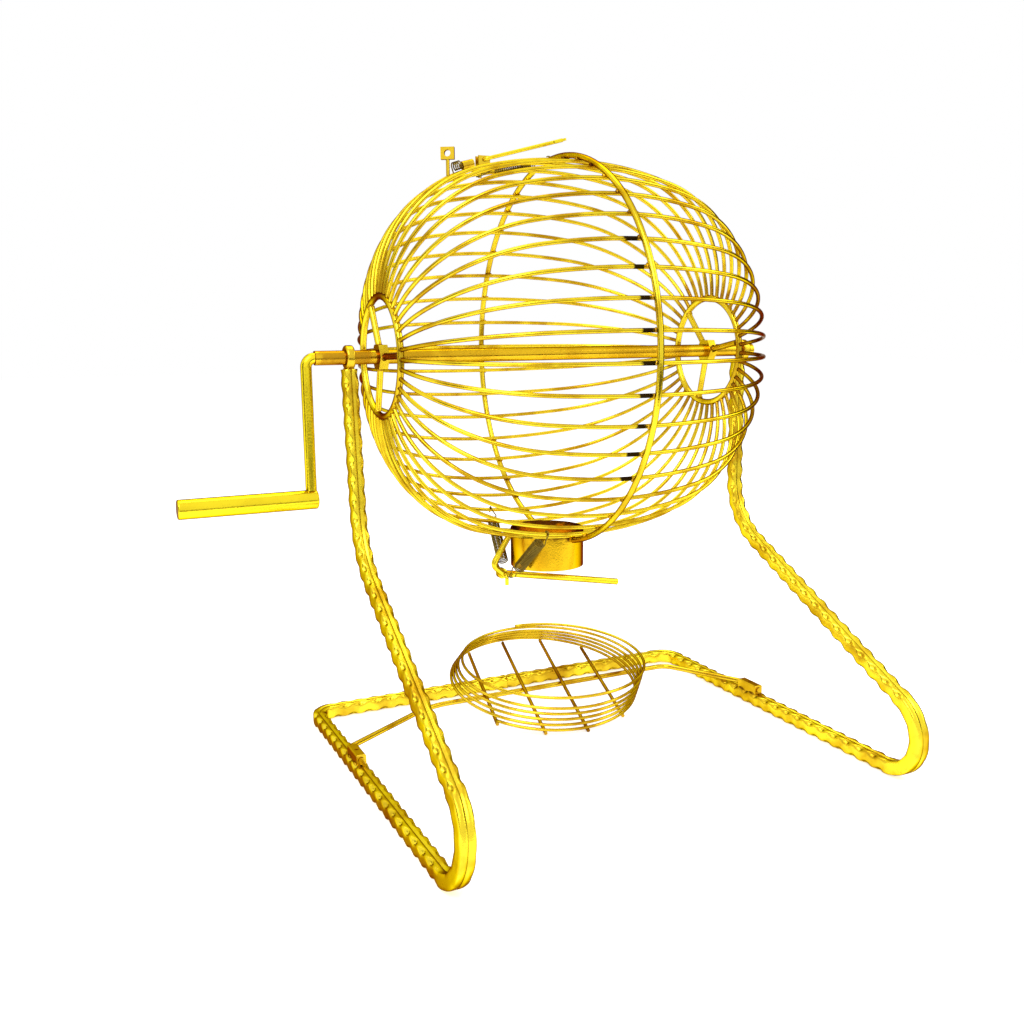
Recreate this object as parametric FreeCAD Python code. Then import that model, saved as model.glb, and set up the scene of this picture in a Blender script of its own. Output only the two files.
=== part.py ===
import FreeCAD, Part
import math
import os

os.makedirs("parts", exist_ok=True)

Vector = FreeCAD.Vector

# Sizes are millimetres. The model is built round the axle's centre, which is the
# zero of the working axes: X along the axle with the crank at -X, Y to the rear, Z up.

# Place of the axle over the stand
axle_height = 246.0
rear_bar_setback = 81.5

# Cage of bent wires
cage_radius = 115.0
cage_half_length = 115.0
crown_radius = 226.0
crown_half_angle = 14.0
wire_diameter = 2.4
wire_count = 42
wires_per_group = 3
first_wire_angle = 7.0
end_ring_radius = 34.6
end_ring_diameter = 4.0
middle_ring_diameter = 3.6
middle_ring_front_end = 96.5
middle_ring_rear_end = 105.5
weld_depth = 0.3

# Axle, hubs and spokes
axle_diameter = 8.2
axle_bore = 6.4
axle_left_overhang = 17.5
axle_right_overhang = 5.0
hub_across_flats = 14.0
hub_length = 5.5
spoke_diameter = 3.8
left_spoke_angles = (2.0, 119.0, 255.0)
right_spoke_angles = (10.0, 132.0, 256.0)

# Crank
crank_arm_gap = 5.0
crank_throw = 80.5
crank_bend_radius = 5.0
crank_rod_insert = 22.0
grip_diameter = 11.2
grip_length = 78.0
grip_overhang = 3.4
grip_edge = 1.0

# Bearings
bearing_outer_diameter = 14.0
bearing_length = 5.0
bearing_edge = 1.2
running_clearance = 0.05
left_bearing_gap = 19.4
right_bearing_gap = 29.0

# Stand bar
bar_side = 8.5
bar_corner = 0.8
rear_outset = 28.0
rear_corner_radius = 12.0
front_outset = 26.0
front_reach = 176.5
front_bend_radius = 24.1
knee_outset = 19.2
knee_forward = 9.3
knee_drop = 113.6
knee_radius = 50.0
right_top_inset = 3.5

# Outlet tube
outlet_outer_diameter = 47.0
outlet_wall = 1.5
outlet_x = -7.0
outlet_rise = 4.5
outlet_length = 24.0

# Outlet lever, its arm and its two springs
outlet_arm_diameter = 3.8
outlet_arm_top_gap = 6.1
outlet_arm_bend_gap = 17.5
outlet_arm_bend_rise = 4.1
outlet_arm_bend_radius = 4.0
outlet_pivot_gap = 9.5
outlet_pivot_drop = 2.5
outlet_pin_diameter = 2.4
outlet_pin_bend_radius = 2.0
outlet_pin_tail = 6.0
outlet_pin_spare = 1.2
outlet_lever_diameter = 4.2
outlet_lever_overreach = 28.5
outlet_lever_tip_drop = 17.8
outlet_lever_gap = 0.4
outlet_eye_diameter = 6.8
outlet_eye_width = 3.4
cross_pin_diameter = 1.8
cross_pin_reach = 5.2
cross_pin_spare = 1.2
outlet_hook_gap = 3.6
outlet_anchor_gap = 3.5
outlet_spring_coil = 6.6
outlet_spring_lead = 8.5

# Latch on top of the cage
latch_pivot_x = -46.5
latch_pivot_lift = 3.4
latch_rod_diameter = 2.2
latch_bend_radius = 2.0
latch_shoulder = 2.1
latch_tip_x = 6.7
latch_tip_rise = 14.5
latch_tail_length = 9.5
latch_tail_spare = 1.0
latch_tip_flat_length = 9.0
latch_tip_flat_width = 3.6
latch_tip_flat_thickness = 1.4
bracket_length = 7.4
bracket_gap = 3.2
bracket_sheet = 1.0
bracket_height = 5.6
latch_anchor_setback = 1.5
latch_spring_coil = 4.6
latch_spring_lead = 11.0
sleeve_diameter = 5.2
sleeve_bore = 3.6
sleeve_length = 7.0
sleeve_gap = 2.7
post_gap = 8.0
post_diameter = 2.2
post_height = 9.5
nut_width = 8.0
nut_height = 7.0
nut_thickness = 2.8
nut_bore = 3.8
nut_turn = 58.0

# Springs
spring_wire = 0.8
spring_pitch = 1.28
hook_clearance = 0.35
torsion_turns = 4
torsion_leg = 5.0

# Tray of coiled wire
tray_wire_diameter = 2.0
tray_turns = 5.65
tray_even_turns = 5.0
tray_rim_radius = 63.5
tray_foot_radius = 66.0
tray_rim_x = 17.5
tray_foot_x = 11.5
tray_rim_front = -25.5
tray_rim_front_z = -219.5
tray_rim_rear_z = -206.7
tray_foot_front = -21.0
tray_foot_rear_z = -219.8
tray_floor_diameter = 2.4
tray_floor_turn = 12.0
tray_floor_pitch = 29.0
tray_floor_count = 4
tray_floor_overhang = 0.6

# Rod that carries the tray and the two sockets that its ends push into
tray_rod_diameter = 3.5
tray_rod_place = 0.52
tray_rod_left_bend_x = -74.0
tray_rod_right_bend_x = 115.0
tray_rod_wide_bend = 50.0
tray_rod_tight_bend = 12.0
tray_rod_end_bend = 4.0
tray_rod_spare = 1.0
socket_width = 6.0
socket_height = 6.0
socket_length = 19.0
socket_edge = 0.8
socket_mouth_gap = 3.0
left_socket_y = -13.5
right_socket_y = -23.0
witness_hole = 2.4

# Sizes that follow from the ones above
floor_z = -axle_height
bar_centre_z = floor_z + bar_side / 2
rail_top_z = bar_centre_z + bar_side / 2
cage_wire_radius = wire_diameter / 2
middle_ring_radius = cage_radius + cage_wire_radius + middle_ring_diameter / 2 - weld_depth / 2
wire_end_radius = end_ring_radius + end_ring_diameter / 2 - weld_depth
wire_pitch_angle = 360.0 / wire_count
top_wire = round((90.0 - first_wire_angle) / wire_pitch_angle)
bottom_wire = round((-90.0 - first_wire_angle) / wire_pitch_angle)
left_bearing_x = -cage_half_length - left_bearing_gap
right_bearing_x = cage_half_length + right_bearing_gap
axle_left_x = left_bearing_x - bearing_length / 2 - axle_left_overhang
axle_right_x = right_bearing_x + bearing_length / 2 + axle_right_overhang
crank_rod_diameter = axle_bore
crank_arm_x = axle_left_x - crank_arm_gap
rear_half_width = cage_half_length + rear_outset
front_half_width = cage_half_length + front_outset
knee_half_width = cage_half_length + knee_outset
left_top_x = left_bearing_x
right_top_x = right_bearing_x - right_top_inset
outlet_radius = outlet_outer_diameter / 2
outlet_side_x = outlet_x - outlet_radius
outlet_top = outlet_rise - cage_radius
outlet_mouth = outlet_top - outlet_length
outlet_arm_top_x = outlet_side_x - outlet_arm_top_gap
outlet_arm_bend_x = outlet_side_x - outlet_arm_bend_gap
outlet_arm_bend_z = outlet_mouth + outlet_arm_bend_rise
outlet_pivot_x = outlet_side_x - outlet_pivot_gap
outlet_pivot_z = outlet_mouth - outlet_pivot_drop
outlet_lever_tip_x = outlet_x + outlet_radius + outlet_lever_overreach
outlet_lever_tip_z = outlet_mouth - outlet_lever_tip_drop
outlet_anchor_x = outlet_side_x + outlet_anchor_gap
sleeve_x = latch_pivot_x - (bracket_length + sleeve_length) / 2 - sleeve_gap
post_x = sleeve_x - (sleeve_length + post_diameter) / 2 - post_gap
tray_rod_z = rail_top_z + socket_height / 2


def polar(x, radius, angle):
    """Point at a radius from the axle; angle 0 is the front and 90 the top."""
    turn = math.radians(angle)
    return Vector(x, -radius * math.cos(turn), radius * math.sin(turn))


def shoulder():
    """Radius and centre of the arc from a wire's crown to its end ring."""
    lean = math.radians(crown_half_angle)
    normal = Vector(math.sin(lean), 0, math.cos(lean))
    start = Vector(0, 0, cage_radius - crown_radius) + normal * crown_radius
    span = Vector(cage_half_length, 0, wire_end_radius) - start
    radius = -span.dot(span) / (2 * span.dot(normal))
    return radius, start - normal * radius, start


def cage_profile(x):
    """Distance from the axle to a cage wire's centre at a place along the axle."""
    radius, centre, start = shoulder()
    if abs(x) <= start.x:
        return cage_radius - crown_radius + math.sqrt(crown_radius ** 2 - x ** 2)
    return centre.z + math.sqrt(radius ** 2 - (abs(x) - centre.x) ** 2)


def wire_angle(number):
    """Angle of a numbered cage wire round the axle."""
    return first_wire_angle + wire_pitch_angle * number


def on_wire(number, x, lift=0.0):
    """Point on a numbered cage wire, lifted outwards from its centre."""
    return polar(x, cage_profile(x) + lift, wire_angle(number))


def arc_between(start, corner, end):
    """Arc tangent to start-corner and corner-end, or a line if they are straight."""
    chord = end - start
    reach = (corner - start).Length
    if reach < 1e-9 or abs((corner - start).cross(chord).Length) < 1e-6 * reach * chord.Length:
        return Part.LineSegment(start, end).toShape()
    weight = chord.Length / (2 * reach)
    middle = (start + end + corner * (2 * weight)) * (1 / (2 + 2 * weight))
    return Part.Arc(start, middle, end).toShape()


def biarc(start, heading, end, leaving):
    """Two tangent arcs that join two points and keep both directions."""
    span = end - start
    both = heading + leaving
    bend = 2 * (1 - heading.dot(leaving))
    along = span.dot(both)
    if bend < 1e-9:
        reach = span.dot(span) / (2 * along)
    else:
        reach = (-along + math.sqrt(along * along + bend * span.dot(span))) / bend
    first = start + heading * reach
    second = end - leaving * reach
    joint = (first + second) * 0.5
    return [arc_between(start, first, joint), arc_between(joint, second, end)]


def rounded_edges(points, radii):
    """Edges of a polyline whose inner corners are rounded."""
    edges = []
    last = points[0]
    for before, corner, after, radius in zip(points, points[1:], points[2:], radii):
        arriving = (corner - before).normalize()
        leaving = (after - corner).normalize()
        turn = math.acos(max(-1.0, min(1.0, arriving.dot(leaving))))
        reach = radius * math.tan(turn / 2)
        start = corner - arriving * reach
        end = corner + leaving * reach
        edges.append(Part.LineSegment(last, start).toShape())
        edges.append(arc_between(start, corner, end))
        last = end
    edges.append(Part.LineSegment(last, points[-1]).toShape())
    return edges


def swept(edges, profile):
    """Solid that a closed profile leaves along joined edges."""
    shell = Part.BRepOffsetAPI.MakePipeShell(Part.Wire(edges))
    shell.add(profile)
    shell.build()
    shell.makeSolid()
    return shell.shape()


def round_bar(edges, diameter):
    """Round wire or rod along joined edges."""
    first = edges[0]
    start = first.valueAt(first.FirstParameter)
    heading = first.tangentAt(first.FirstParameter)
    return swept(edges, Part.Wire([Part.Circle(start, heading, diameter / 2).toShape()]))


def rod(start, end, diameter):
    """Straight round rod between two points."""
    return Part.makeCylinder(diameter / 2, (end - start).Length, start, end - start)


def tube(start, end, outer, bore):
    """Straight round tube between two points."""
    return rod(start, end, outer).cut(rod(start, end, bore))


def block(centre, size_x, size_y, size_z):
    """Upright block about its centre."""
    corner = centre - Vector(size_x, size_y, size_z) * 0.5
    return Part.makeBox(size_x, size_y, size_z, corner)


def soften(shape, edge, distance):
    """Round the circular edges of a turned shape."""
    rims = [item for item in shape.Edges if abs(item.Length - edge) < 0.01]
    return shape.makeFillet(distance, rims)


def least_gap(edges, diameter):
    """Least free space between parts of one bent wire that lie apart along it."""
    step = diameter / 2
    points = Part.Wire(edges).discretize(Distance=step)
    skip = max(4, int(round(3.2 * diameter / step)))
    least = 1e9
    for index, point in enumerate(points):
        for other in points[index + skip:]:
            least = min(least, point.distanceToPoint(other))
    return least - diameter


def save(name, *solids):
    """Write one node, moved from the axle's centre to the stand's own zero."""
    shape = solids[0] if len(solids) == 1 else Part.makeCompound(list(solids))
    moved = shape.copy()
    moved.translate(Vector(0, -rear_bar_setback, axle_height))
    count = len(moved.Solids)
    whole = all(item.isValid() for item in moved.Solids)
    print("%-22s solids %2d  volume %9.1f  valid %s" % (name, count, moved.Volume, whole))
    moved.exportStep("parts/%s.step" % name)


# Stand


def stand_half(top_x):
    """Half of the bent bar, from the middle of the rear bar to one bearing."""
    side = -1 if top_x < 0 else 1
    hub_y = -front_reach + front_bend_radius
    hub_z = bar_centre_z + front_bend_radius
    knee = Vector(side * knee_half_width, -knee_forward, -knee_drop)
    reach = math.hypot(knee.y - hub_y, knee.z - hub_z)
    slope = math.atan2(knee.z - hub_z, knee.y - hub_y) - math.asin(front_bend_radius / reach)
    corner_y = knee.y - (knee.z - bar_centre_z) / math.tan(slope)
    top = Vector(top_x, 0, -bearing_outer_diameter / 2 + weld_depth)
    points = [
        Vector(0, rear_bar_setback, bar_centre_z),
        Vector(side * rear_half_width, rear_bar_setback, bar_centre_z),
        Vector(side * front_half_width, corner_y, bar_centre_z),
        knee,
        top,
    ]
    edges = rounded_edges(points, (rear_corner_radius, front_bend_radius, knee_radius))
    half = bar_side / 2
    square = Part.makeBox(1, bar_side, bar_side, Vector(0, rear_bar_setback - half, bar_centre_z - half))
    rounded = square.makeFillet(bar_corner, [item for item in square.Edges if abs(item.tangentAt(0).x) > 0.9])
    profile = [face for face in rounded.Faces if abs(face.CenterOfMass.x) < 1e-6][0].OuterWire
    return swept(edges, profile)


def stand_bar():
    """The whole bar, bent from one length."""
    return stand_half(left_top_x).fuse(stand_half(right_top_x)).removeSplitter()


def bearing(centre_x):
    """Ring that carries the axle on top of an upright."""
    half = Vector(bearing_length / 2, 0, 0)
    centre = Vector(centre_x, 0, 0)
    body = rod(centre - half, centre + half, bearing_outer_diameter)
    body = soften(body, math.pi * bearing_outer_diameter, bearing_edge)
    return body.cut(rod(centre - half, centre + half, axle_diameter + 2 * running_clearance))


def rail_x(y):
    """Distance of a side rail's centre from the middle at a place along the rail."""
    share = (rear_bar_setback - y) / (rear_bar_setback + front_reach)
    return rear_half_width + (front_half_width - rear_half_width) * share


def tray_socket(side, centre_y):
    """Short drilled bar on a rail that one end of the tray rod pushes into."""
    centre = Vector(side * rail_x(centre_y), centre_y, tray_rod_z)
    body = block(centre, socket_width, socket_length, socket_height)
    upper = [item for item in body.Edges if item.CenterOfMass.z > centre.z + socket_height / 2 - 0.01]
    body = body.makeFillet(socket_edge, upper)
    along = Vector(0, socket_length, 0)
    body = body.cut(rod(centre - along, centre + along, tray_rod_diameter + 2 * running_clearance))
    return body.cut(rod(centre, centre + Vector(0, 0, socket_height), witness_hole))


save("stand_bar", stand_bar())
save("left_bearing_ring", bearing(left_bearing_x))
save("right_bearing_ring", bearing(right_bearing_x))
save("left_tray_socket", tray_socket(-1, left_socket_y))
save("right_tray_socket", tray_socket(1, right_socket_y))


# Axle and crank


def axle_tube():
    """Tube that runs through the whole cage and both bearings."""
    return tube(Vector(axle_left_x, 0, 0), Vector(axle_right_x, 0, 0), axle_diameter, axle_bore)


def crank_arm():
    """Rod that plugs into the axle and turns down to the grip."""
    bottom = -crank_throw + grip_diameter / 2 - weld_depth
    points = [
        Vector(axle_left_x + crank_rod_insert, 0, 0),
        Vector(crank_arm_x, 0, 0),
        Vector(crank_arm_x, 0, bottom),
    ]
    return round_bar(rounded_edges(points, (crank_bend_radius,)), crank_rod_diameter)


def crank_grip():
    """Straight round grip across the foot of the arm."""
    inner = Vector(crank_arm_x + grip_overhang, 0, -crank_throw)
    body = rod(inner, inner - Vector(grip_length, 0, 0), grip_diameter)
    return soften(body, math.pi * grip_diameter, grip_edge)


def hub(centre_x):
    """Six-sided block on the axle that the spokes are welded to."""
    corner = hub_across_flats / math.sqrt(3)
    start = centre_x - hub_length / 2
    corners = [polar(start, corner, 60 * step) for step in range(7)]
    body = Part.Face(Part.makePolygon(corners)).extrude(Vector(hub_length, 0, 0))
    return body.cut(rod(Vector(axle_left_x, 0, 0), Vector(axle_right_x, 0, 0), axle_diameter))


def end_ring(centre_x):
    """Ring that gathers the wires at one end of the cage."""
    return Part.makeTorus(end_ring_radius, end_ring_diameter / 2, Vector(centre_x, 0, 0), Vector(1, 0, 0))


def spokes(centre_x, angles):
    """Spokes from a hub to its end ring, each a rod of its own."""
    inner = hub_across_flats / 2 - weld_depth
    outer = end_ring_radius - end_ring_diameter / 2 + weld_depth
    return [rod(polar(centre_x, inner, angle), polar(centre_x, outer, angle), spoke_diameter) for angle in angles]


save("axle_tube", axle_tube())
save("crank_arm", crank_arm())
save("crank_grip", crank_grip())
save("left_hub", hub(-cage_half_length))
save("right_hub", hub(cage_half_length))
save("left_end_ring", end_ring(-cage_half_length))
save("right_end_ring", end_ring(cage_half_length))
save("left_spokes", *spokes(-cage_half_length, left_spoke_angles))
save("right_spokes", *spokes(cage_half_length, right_spoke_angles))


# Cage


def outlet_core(radius):
    """Upright cylinder on the outlet's own line."""
    deep = Vector(outlet_x, 0, outlet_mouth - outlet_radius)
    return rod(deep, Vector(outlet_x, 0, 0), 2 * radius)


def cage_wire(number):
    """One bent wire from end ring to end ring, parted where the outlet stands."""
    radius, centre, start = shoulder()
    lean = math.radians(crown_half_angle)
    halfway = (math.pi / 2 - lean + math.atan2(wire_end_radius - centre.z, cage_half_length - centre.x)) / 2
    middle = centre + Vector(math.cos(halfway), 0, math.sin(halfway)) * radius
    end = Vector(cage_half_length, 0, wire_end_radius)
    flip = [Vector(-item.x, 0, item.z) for item in (end, middle, start)]
    edges = [
        Part.Arc(flip[0], flip[1], flip[2]).toShape(),
        Part.Arc(flip[2], Vector(0, 0, cage_radius), start).toShape(),
        Part.Arc(start, middle, end).toShape(),
    ]
    body = round_bar(edges, wire_diameter)
    body.rotate(Vector(0, 0, 0), Vector(1, 0, 0), 90 - wire_angle(number))
    foot = on_wire(number, outlet_x)
    if foot.z < 0 and abs(foot.y) < outlet_radius + cage_wire_radius:
        body = body.cut(outlet_core(outlet_radius - weld_depth))
    return body


def middle_ring(start_angle, end_angle):
    """Part of the ring that clasps the wires round the cage's middle."""
    halfway = (start_angle + end_angle) / 2
    angles = (start_angle, halfway, end_angle)
    edge = Part.Arc(*[polar(0, middle_ring_radius, angle) for angle in angles]).toShape()
    return round_bar([edge], middle_ring_diameter).cut(outlet_core(outlet_radius - weld_depth))


def outlet_tube():
    """Short tube that lets the balls out."""
    top = Vector(outlet_x, 0, outlet_top)
    mouth = Vector(outlet_x, 0, outlet_mouth)
    return tube(top, mouth, outlet_outer_diameter, outlet_outer_diameter - 2 * outlet_wall)


for first in range(0, wire_count, wires_per_group):
    numbers = range(first, min(first + wires_per_group, wire_count))
    pieces = [solid for number in numbers for solid in cage_wire(number).Solids]
    save("cage_wires_%02d" % (first // wires_per_group + 1), *pieces)
save("middle_ring_front", middle_ring(-89.0, middle_ring_front_end))
save("middle_ring_rear", middle_ring(middle_ring_rear_end, 269.0))
save("outlet_tube", outlet_tube())


# Springs


def helix_nodes(foot, axis, side, radius, pitch, turns, phase):
    """Points and directions on a helix, four to a turn."""
    across = axis.cross(side)
    rise = pitch / (2 * math.pi * radius)
    nodes = []
    for step in range(int(4 * turns) + 1):
        turn = phase + math.pi / 2 * step
        out = side * math.cos(turn) + across * math.sin(turn)
        round_way = across * math.cos(turn) - side * math.sin(turn)
        point = foot + axis * (pitch * step / 4) + out * radius
        nodes.append((point, (round_way + axis * rise).normalize()))
    return nodes


def hook_nodes(centre, axis, side, radius, angles):
    """Points and directions on a hook round an anchor."""
    nodes = []
    for angle in angles:
        turn = math.radians(angle)
        point = centre + (axis * math.cos(turn) + side * math.sin(turn)) * radius
        nodes.append((point, side * math.cos(turn) - axis * math.sin(turn)))
    return nodes


def joined(nodes):
    """Edges through points in their directions."""
    edges = []
    for (start, heading), (end, leaving) in zip(nodes, nodes[1:]):
        edges.extend(biarc(start, heading, end, leaving))
    return edges


def hook_radius(rod_diameter, rod_way, axis, side):
    """Radius of a hook whose wire clears a rod that may cross it at a slant."""
    slant = abs(rod_way.dot(axis.cross(side)))
    return (rod_diameter / 2 + spring_wire / 2 + hook_clearance) / slant


def tension_spring(label, coil, lead, lower, lower_rod, lower_way, upper, upper_rod, upper_way, side_hint):
    """Close coils between two hooks that grip rods at their centres."""
    axis = (upper - lower).normalize()
    turns = int(((upper - lower).Length - 2 * lead) / spring_pitch) + 0.25
    side = (side_hint - axis * side_hint.dot(axis)).normalize()
    foot = lower + axis * lead
    last = math.pi * (1 + 2 * turns)
    upper_side = side * -math.cos(last) - axis.cross(side) * math.sin(last)
    lower_grip = hook_radius(lower_rod, lower_way, axis, side)
    upper_grip = hook_radius(upper_rod, upper_way, axis, upper_side)
    nodes = hook_nodes(lower, axis, side, lower_grip, (75, 130, 180, 225, 270))
    nodes += helix_nodes(foot, axis, side, coil / 2, spring_pitch, turns, math.pi)
    back = hook_nodes(upper, -axis, upper_side, upper_grip, (270, 225, 180, 130, 75))
    nodes += [(point, direction * -1) for point, direction in back]
    edges = joined(nodes)
    print("%-22s turns %.2f  least gap to itself %.2f" % (label, turns, least_gap(edges, spring_wire)))
    return round_bar(edges, spring_wire)


# Outlet lever


lever_plane_y = on_wire(bottom_wire, outlet_arm_top_x).y
lever_y = lever_plane_y + outlet_arm_diameter / 2 + outlet_lever_gap + outlet_eye_width / 2
outlet_pivot = Vector(outlet_pivot_x, lever_y, outlet_pivot_z)


def outlet_arm():
    """Bent rod that hangs from a cage wire and holds the lever's pin."""
    top = on_wire(bottom_wire, outlet_arm_top_x, cage_wire_radius - weld_depth)
    bend = Vector(outlet_arm_bend_x, lever_plane_y, outlet_arm_bend_z)
    foot = Vector(outlet_pivot_x, lever_plane_y, outlet_pivot_z)
    top.y = lever_plane_y
    return round_bar(rounded_edges([top, bend, foot], (outlet_arm_bend_radius,)), outlet_arm_diameter)


def outlet_hinge_pin():
    """Pin through the arm's foot that the lever turns on, its front end turned down."""
    front_y = lever_plane_y - outlet_arm_diameter / 2 - outlet_pin_bend_radius
    front = Vector(outlet_pivot_x, front_y, outlet_pivot_z)
    rear = Vector(outlet_pivot_x, lever_y + outlet_eye_width / 2 + outlet_pin_spare, outlet_pivot_z)
    tail = front - Vector(0, 0, outlet_pin_tail)
    return round_bar(rounded_edges([rear, front, tail], (outlet_pin_bend_radius,)), outlet_pin_diameter)


def lever_direction():
    """Direction of the outlet lever from its eye to its tip."""
    return Vector(outlet_lever_tip_x - outlet_pivot_x, 0, outlet_lever_tip_z - outlet_pivot_z).normalize()


def outlet_lever():
    """Straight rod with an eye that bars the outlet's mouth."""
    half = Vector(0, outlet_eye_width / 2, 0)
    tip = Vector(outlet_lever_tip_x, lever_y, outlet_lever_tip_z)
    body = rod(outlet_pivot, tip, outlet_lever_diameter)
    body = body.fuse(rod(outlet_pivot - half, outlet_pivot + half, outlet_eye_diameter))
    bore = outlet_pin_diameter + 2 * running_clearance
    return body.cut(rod(outlet_pivot - half * 2, outlet_pivot + half * 2, bore))


def cross_pin_point(reach):
    """Place on the short pin that takes the springs' hooks."""
    centre = outlet_pivot + lever_direction() * cross_pin_reach
    return centre + Vector(0, reach, 0)


def outlet_cross_pin():
    """Short pin across the lever beside its eye."""
    reach = hook_reach + cross_pin_spare
    return rod(cross_pin_point(-reach), cross_pin_point(reach), cross_pin_diameter)


def outlet_spring(label, side):
    """Spring from the cross pin up to the first cage wire that leaves the tube free."""
    number = bottom_wire
    while abs(on_wire(number, outlet_anchor_x).y) < outlet_radius + outlet_spring_coil:
        number -= side
    return tension_spring(
        label, outlet_spring_coil, outlet_spring_lead,
        cross_pin_point(side * hook_reach), cross_pin_diameter, Vector(0, 1, 0),
        on_wire(number, outlet_anchor_x), wire_diameter, Vector(1, 0, 0), Vector(1, 0, 0)
    )


hook_reach = outlet_lever_diameter / 2 + outlet_hook_gap
arm_pin = outlet_hinge_pin()
save("outlet_arm", outlet_arm().cut(arm_pin))
save("outlet_hinge_pin", arm_pin)
save("outlet_lever", outlet_lever().cut(outlet_cross_pin()))
save("outlet_cross_pin", outlet_cross_pin())
save("outlet_spring_front", outlet_spring("outlet_spring_front", -1))
save("outlet_spring_rear", outlet_spring("outlet_spring_rear", 1))


# Latch on top


latch_seat = on_wire(top_wire, latch_pivot_x, cage_wire_radius - weld_depth)
latch_pivot = latch_seat + Vector(0, 0, latch_pivot_lift)
latch_side = bracket_gap / 2 + bracket_sheet + latch_shoulder


def latch_bracket():
    """Small bent-up clip on a cage wire with the lever's two holes."""
    width = bracket_gap + 2 * bracket_sheet
    centre = latch_seat + Vector(0, 0, bracket_height / 2)
    body = block(centre, bracket_length, width, bracket_height)
    hollow = centre + Vector(0, 0, bracket_sheet)
    body = body.cut(block(hollow, 2 * bracket_length, bracket_gap, bracket_height))
    across = Vector(0, width, 0)
    return body.cut(rod(latch_pivot - across, latch_pivot + across, latch_rod_diameter + 2 * running_clearance))


def latch_lever():
    """One rod bent into lever, pivot and tail, flattened at the lever's tip."""
    front = Vector(0, -latch_side, 0)
    rear = Vector(0, latch_side, 0)
    tip = Vector(latch_tip_x, latch_pivot.y - latch_side, latch_pivot.z + latch_tip_rise)
    tail = latch_pivot + rear - Vector(0, 0, latch_tail_length)
    points = [tip, latch_pivot + front, latch_pivot + rear, tail]
    body = round_bar(rounded_edges(points, (latch_bend_radius, latch_bend_radius)), latch_rod_diameter)
    slope = math.degrees(math.atan2(latch_tip_rise, latch_tip_x - latch_pivot_x))
    end = Part.makeBox(
        latch_rod_diameter, latch_rod_diameter, latch_rod_diameter,
        Vector(-latch_rod_diameter, -latch_rod_diameter / 2, -latch_rod_diameter / 2)
    )
    flat = Part.makeBox(
        latch_tip_flat_length, latch_tip_flat_width, latch_tip_flat_thickness,
        Vector(-latch_tip_flat_length, -latch_tip_flat_width / 2, -latch_tip_flat_thickness / 2)
    )
    flat = flat.makeFillet(latch_tip_flat_width * 0.3, [
        item for item in flat.Edges if abs(item.tangentAt(0).z) > 0.9
    ])
    for piece in (end, flat):
        piece.rotate(Vector(0, 0, 0), Vector(0, 1, 0), -slope)
        piece.translate(tip)
    return body.cut(end).fuse(flat)


def latch_tail_point():
    """Place on the tail that the latch spring grips."""
    return latch_pivot + Vector(0, latch_side, latch_tail_spare - latch_tail_length)


def latch_spring():
    """Spring from the lever's tail to the end of the middle ring."""
    upper = polar(0, middle_ring_radius, middle_ring_front_end - latch_anchor_setback)
    return tension_spring(
        "latch_spring", latch_spring_coil, latch_spring_lead,
        latch_tail_point(), latch_rod_diameter, Vector(0, 0, 1),
        upper, middle_ring_diameter, Vector(0, 1, 0), Vector(0, 1, 0)
    )


def latch_sleeve():
    """Short tube that lies along the wire beside the clip."""
    lift = cage_wire_radius + sleeve_diameter / 2 - weld_depth
    half = sleeve_length / 2
    start = on_wire(top_wire, sleeve_x - half, lift)
    end = on_wire(top_wire, sleeve_x + half, lift)
    return tube(start, end, sleeve_diameter, sleeve_bore)


def latch_coil():
    """Few turns of spring wire at the sleeve's outer end, one leg up to the post."""
    lift = cage_wire_radius + sleeve_diameter / 2 + spring_wire
    mouth = on_wire(top_wire, sleeve_x - sleeve_length / 2 - spring_wire, lift)
    ahead = on_wire(top_wire, sleeve_x - sleeve_length / 2 - 2 * spring_wire, lift)
    axis = (ahead - mouth).normalize()
    nodes = helix_nodes(mouth, axis, Vector(0, 1, 0), latch_spring_coil / 2, spring_pitch, torsion_turns, 0)
    point, heading = nodes[-1]
    leg = point + heading * torsion_leg
    edges = joined(nodes) + [Part.LineSegment(point, leg).toShape()]
    print("%-22s least gap to itself %.2f" % ("latch_coil", least_gap(edges, spring_wire)))
    return round_bar(edges, spring_wire)


def latch_post():
    """Upright post that carries the square nut."""
    foot = on_wire(top_wire, post_x, cage_wire_radius - weld_depth)
    return rod(foot, foot + Vector(0, 0, post_height), post_diameter)


def latch_nut():
    """Square plate on the post, its hole turned towards the front."""
    foot = on_wire(top_wire, post_x, cage_wire_radius - weld_depth)
    centre = foot + Vector(0, 0, post_height + nut_height / 2 - weld_depth)
    body = block(centre, nut_thickness, nut_width, nut_height)
    reach = Vector(nut_thickness, 0, 0)
    body = body.cut(rod(centre - reach, centre + reach, nut_bore))
    body.rotate(centre, Vector(0, 0, 1), nut_turn)
    return body


save("latch_bracket", latch_bracket())
save("latch_lever", latch_lever())
save("latch_spring", latch_spring())
save("latch_sleeve", latch_sleeve())
save("latch_coil", latch_coil())
save("latch_post", latch_post())
save("latch_nut", latch_nut())


# Tray


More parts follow.
